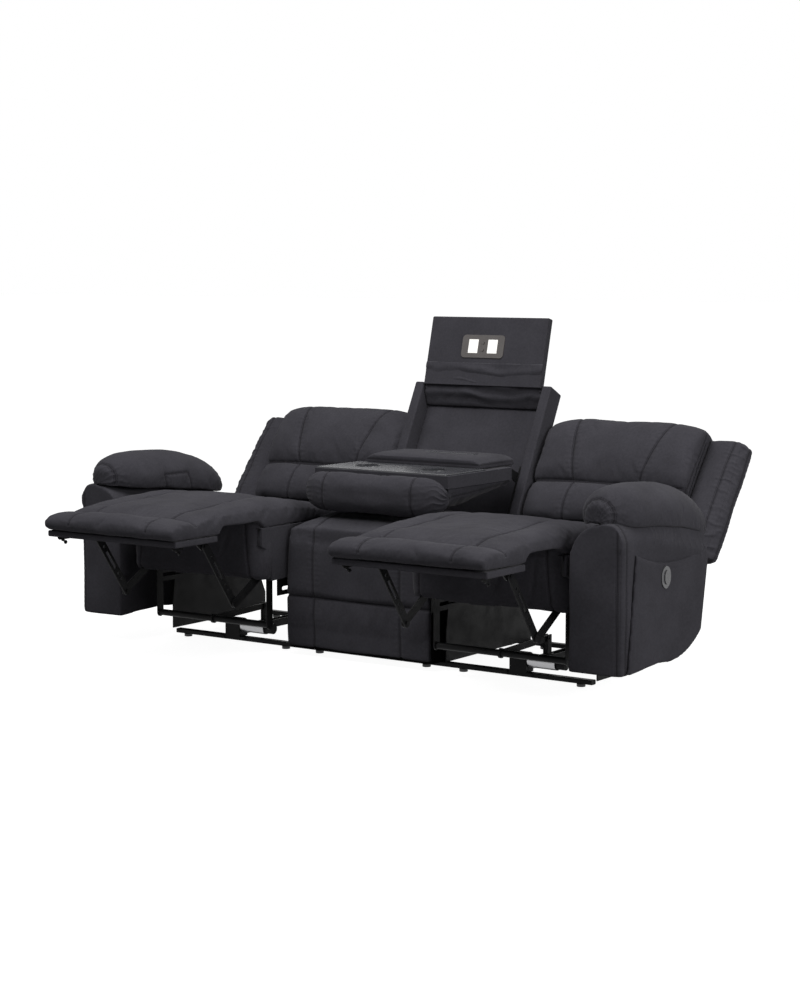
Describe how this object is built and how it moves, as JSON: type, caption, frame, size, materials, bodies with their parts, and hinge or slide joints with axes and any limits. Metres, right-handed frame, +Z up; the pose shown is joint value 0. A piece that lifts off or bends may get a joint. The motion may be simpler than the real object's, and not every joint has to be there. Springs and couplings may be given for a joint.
{
  "type": "reclining sofa with drop-down console",
  "caption": "Three-seat reclining sofa: end seats with power footrests and reclining backs, middle back that folds down into a console with cup wells, lidded box and lamp flap.",
  "frame": {"origin": "on the floor, under the middle of the opened sofa", "axes": "+X along the sofa to the right of a viewer in front of it, +Y towards its back, +Z up"},
  "size_m": [2.212, 1.3995, 1.1162],
  "materials": {
    "black_steel": "semi-gloss black",
    "motor_steel": "satin",
    "black_plastic": "matt",
    "tray_plastic": "gloss",
    "switch_plastic": "satin",
    "upholstery": "soft brushed, leather-look",
    "seat_board": "raw board under fabric",
    "lamp_plastic": "satin",
    "lamp_lens": "diffusing"
  },
  "bodies": {
    "base": {"floor_rails": "black_steel", "floor_feet": "black_plastic", "fasteners": "black_steel", "base_plates": "black_steel", "switch_bezels": "switch_plastic", "middle_seat_box": "seat_board", "middle_front_panel": "upholstery", "middle_seat_cushion": "upholstery", "middle_posts": "upholstery", "middle_back_panel": "upholstery", "console_runners": "black_steel", "recline_actuators": "motor_steel", "left_arm_shell": "upholstery", "left_arm_side_panel": "upholstery", "left_arm_pillow": "upholstery", "right_arm_shell": "upholstery", "right_arm_side_panel": "upholstery", "right_arm_pillow": "upholstery"},
    "left_seat": {"left_seat_frame": "seat_board", "left_seat_rails": "black_steel", "left_seat_cushion": "upholstery"},
    "left_back": {"left_back_shell": "upholstery", "left_back_brackets": "black_steel", "left_back_cushion": "upholstery", "left_back_wing": "upholstery"},
    "left_footrest": {"left_footrest_board": "seat_board", "left_footrest_brackets": "black_steel", "left_footrest_pad": "upholstery"},
    "left_drive_links": {"left_drive_frame": "black_steel"},
    "left_upper_links": {"left_upper_links": "black_steel"},
    "left_push_link": {"left_push_link": "black_steel"},
    "left_carriage": {"left_carriage": "black_steel"},
    "left_rocker": {"left_recline_rocker": "switch_plastic"},
    "right_seat": {"right_seat_frame": "seat_board", "right_seat_rails": "black_steel", "right_seat_cushion": "upholstery"},
    "right_back": {"right_back_shell": "upholstery", "right_back_brackets": "black_steel", "right_back_cushion": "upholstery", "right_back_wing": "upholstery"},
    "right_footrest": {"right_footrest_board": "seat_board", "right_footrest_brackets": "black_steel", "right_footrest_pad": "upholstery"},
    "right_drive_links": {"right_drive_frame": "black_steel"},
    "right_upper_links": {"right_upper_links": "black_steel"},
    "right_push_link": {"right_push_link": "black_steel"},
    "right_carriage": {"right_carriage": "black_steel"},
    "right_rocker": {"right_recline_rocker": "switch_plastic"},
    "console_hinge": {"console_hinge_plates": "black_steel"},
    "console": {"console_deck": "upholstery", "console_tray": "tray_plastic", "console_roll": "upholstery", "console_pad": "upholstery"},
    "storage_lid": {"storage_lid": "upholstery", "lid_strip": "tray_plastic"},
    "lamp_flap": {"lamp_flap": "upholstery", "lamp_plate": "lamp_plastic", "lamp_lenses": "lamp_lens"},
    "lower_lamp_switch": {"lower_lamp_switch": "lamp_plastic"},
    "upper_lamp_switch": {"upper_lamp_switch": "lamp_plastic"}
  },
  "joints": [
    {"name": "left_seat_travel", "type": "slide", "parent": "base", "child": "left_seat", "axis": [0, -1, 0], "range_m": [-0.13, 0]},
    {"name": "left_footrest_fold", "type": "hinge", "parent": "left_seat", "child": "left_footrest", "pos_m": [-0.58, -0.322, 0.508], "axis": [-1, 0, 0], "range_deg": [-90, 0]},
    {"name": "left_back_recline", "type": "hinge", "parent": "left_seat", "child": "left_back", "pos_m": [-0.58, 0.34, 0.395], "axis": [-1, 0, 0], "range_deg": [-24, 0]},
    {"name": "left_drive_link_swing", "type": "hinge", "parent": "left_seat", "child": "left_drive_links", "pos_m": [-0.58, -0.18, 0.305], "axis": [-1, 0, 0], "range_deg": [-90, 0]},
    {"name": "left_upper_link_swing", "type": "hinge", "parent": "left_drive_links", "child": "left_upper_links", "pos_m": [-0.58, -0.358, 0.197], "axis": [-1, 0, 0], "range_deg": [0, 90]},
    {"name": "left_push_link_swing", "type": "hinge", "parent": "left_drive_links", "child": "left_push_link", "pos_m": [-0.58, -0.18, 0.1], "axis": [-1, 0, 0], "range_deg": [0, 136.76]},
    {"name": "left_carriage_travel", "type": "slide", "parent": "base", "child": "left_carriage", "axis": [0, -1, 0], "range_m": [-0.2534, 0]},
    {"name": "left_rocker_tilt", "type": "hinge", "parent": "base", "child": "left_rocker", "pos_m": [-1.091, -0.062, 0.367], "axis": [0, 1, 0], "range_deg": [-3.5, 3.5], "stiffness_Nm_per_rad": 0.4},
    {"name": "right_seat_travel", "type": "slide", "parent": "base", "child": "right_seat", "axis": [0, -1, 0], "range_m": [-0.13, 0]},
    {"name": "right_footrest_fold", "type": "hinge", "parent": "right_seat", "child": "right_footrest", "pos_m": [0.58, -0.322, 0.508], "axis": [-1, 0, 0], "range_deg": [-90, 0]},
    {"name": "right_back_recline", "type": "hinge", "parent": "right_seat", "child": "right_back", "pos_m": [0.58, 0.34, 0.395], "axis": [-1, 0, 0], "range_deg": [-24, 0]},
    {"name": "right_drive_link_swing", "type": "hinge", "parent": "right_seat", "child": "right_drive_links", "pos_m": [0.58, -0.18, 0.305], "axis": [-1, 0, 0], "range_deg": [-90, 0]},
    {"name": "right_upper_link_swing", "type": "hinge", "parent": "right_drive_links", "child": "right_upper_links", "pos_m": [0.58, -0.358, 0.197], "axis": [-1, 0, 0], "range_deg": [0, 90]},
    {"name": "right_push_link_swing", "type": "hinge", "parent": "right_drive_links", "child": "right_push_link", "pos_m": [0.58, -0.18, 0.1], "axis": [-1, 0, 0], "range_deg": [0, 136.76]},
    {"name": "right_carriage_travel", "type": "slide", "parent": "base", "child": "right_carriage", "axis": [0, -1, 0], "range_m": [-0.2534, 0]},
    {"name": "right_rocker_tilt", "type": "hinge", "parent": "base", "child": "right_rocker", "pos_m": [1.091, -0.062, 0.367], "axis": [0, 1, 0], "range_deg": [-3.5, 3.5], "stiffness_Nm_per_rad": 0.4},
    {"name": "console_drop", "type": "slide", "parent": "base", "child": "console_hinge", "axis": [0, 0.454, 0.891], "range_m": [-0.131, 0]},
    {"name": "console_fold", "type": "hinge", "parent": "console_hinge", "child": "console", "pos_m": [0, 0.41, 0.6], "axis": [1, 0, 0], "range_deg": [-117, 0]},
    {"name": "storage_lid_open", "type": "hinge", "parent": "console", "child": "storage_lid", "pos_m": [0, 0.445, 0.6273], "axis": [-1, 0, 0], "range_deg": [0, 85]},
    {"name": "lamp_flap_fold", "type": "hinge", "parent": "base", "child": "lamp_flap", "pos_m": [0, 0.6159, 0.86097], "axis": [-1, 0, 0], "range_deg": [-167, 0]},
    {"name": "lower_lamp_press", "type": "slide", "parent": "lamp_flap", "child": "lower_lamp_switch", "axis": [0, -0.9703, 0.2419], "range_m": [-0.0012, 0], "stiffness_N_per_m": 200},
    {"name": "upper_lamp_press", "type": "slide", "parent": "lamp_flap", "child": "upper_lamp_switch", "axis": [0, -0.9703, 0.2419], "range_m": [-0.0012, 0], "stiffness_N_per_m": 200}
  ],
  "couplings": [
    {"joint": "left_seat_travel", "follows": "left_footrest_fold", "m_per_rad": 0.082761},
    {"joint": "left_back_recline", "follows": "left_footrest_fold", "ratio": 0.26667},
    {"joint": "left_drive_link_swing", "follows": "left_footrest_fold", "ratio": 1},
    {"joint": "left_upper_link_swing", "follows": "left_footrest_fold", "ratio": -1},
    {"joint": "left_push_link_swing", "follows": "left_footrest_fold", "ratio": -1.5194},
    {"joint": "left_carriage_travel", "follows": "left_footrest_fold", "m_per_rad": 0.16126},
    {"joint": "right_seat_travel", "follows": "right_footrest_fold", "m_per_rad": 0.082761},
    {"joint": "right_back_recline", "follows": "right_footrest_fold", "ratio": 0.26667},
    {"joint": "right_drive_link_swing", "follows": "right_footrest_fold", "ratio": 1},
    {"joint": "right_upper_link_swing", "follows": "right_footrest_fold", "ratio": -1},
    {"joint": "right_push_link_swing", "follows": "right_footrest_fold", "ratio": -1.5194},
    {"joint": "right_carriage_travel", "follows": "right_footrest_fold", "m_per_rad": 0.16126},
    {"joint": "console_drop", "follows": "console_fold", "m_per_rad": 0.064152}
  ]
}
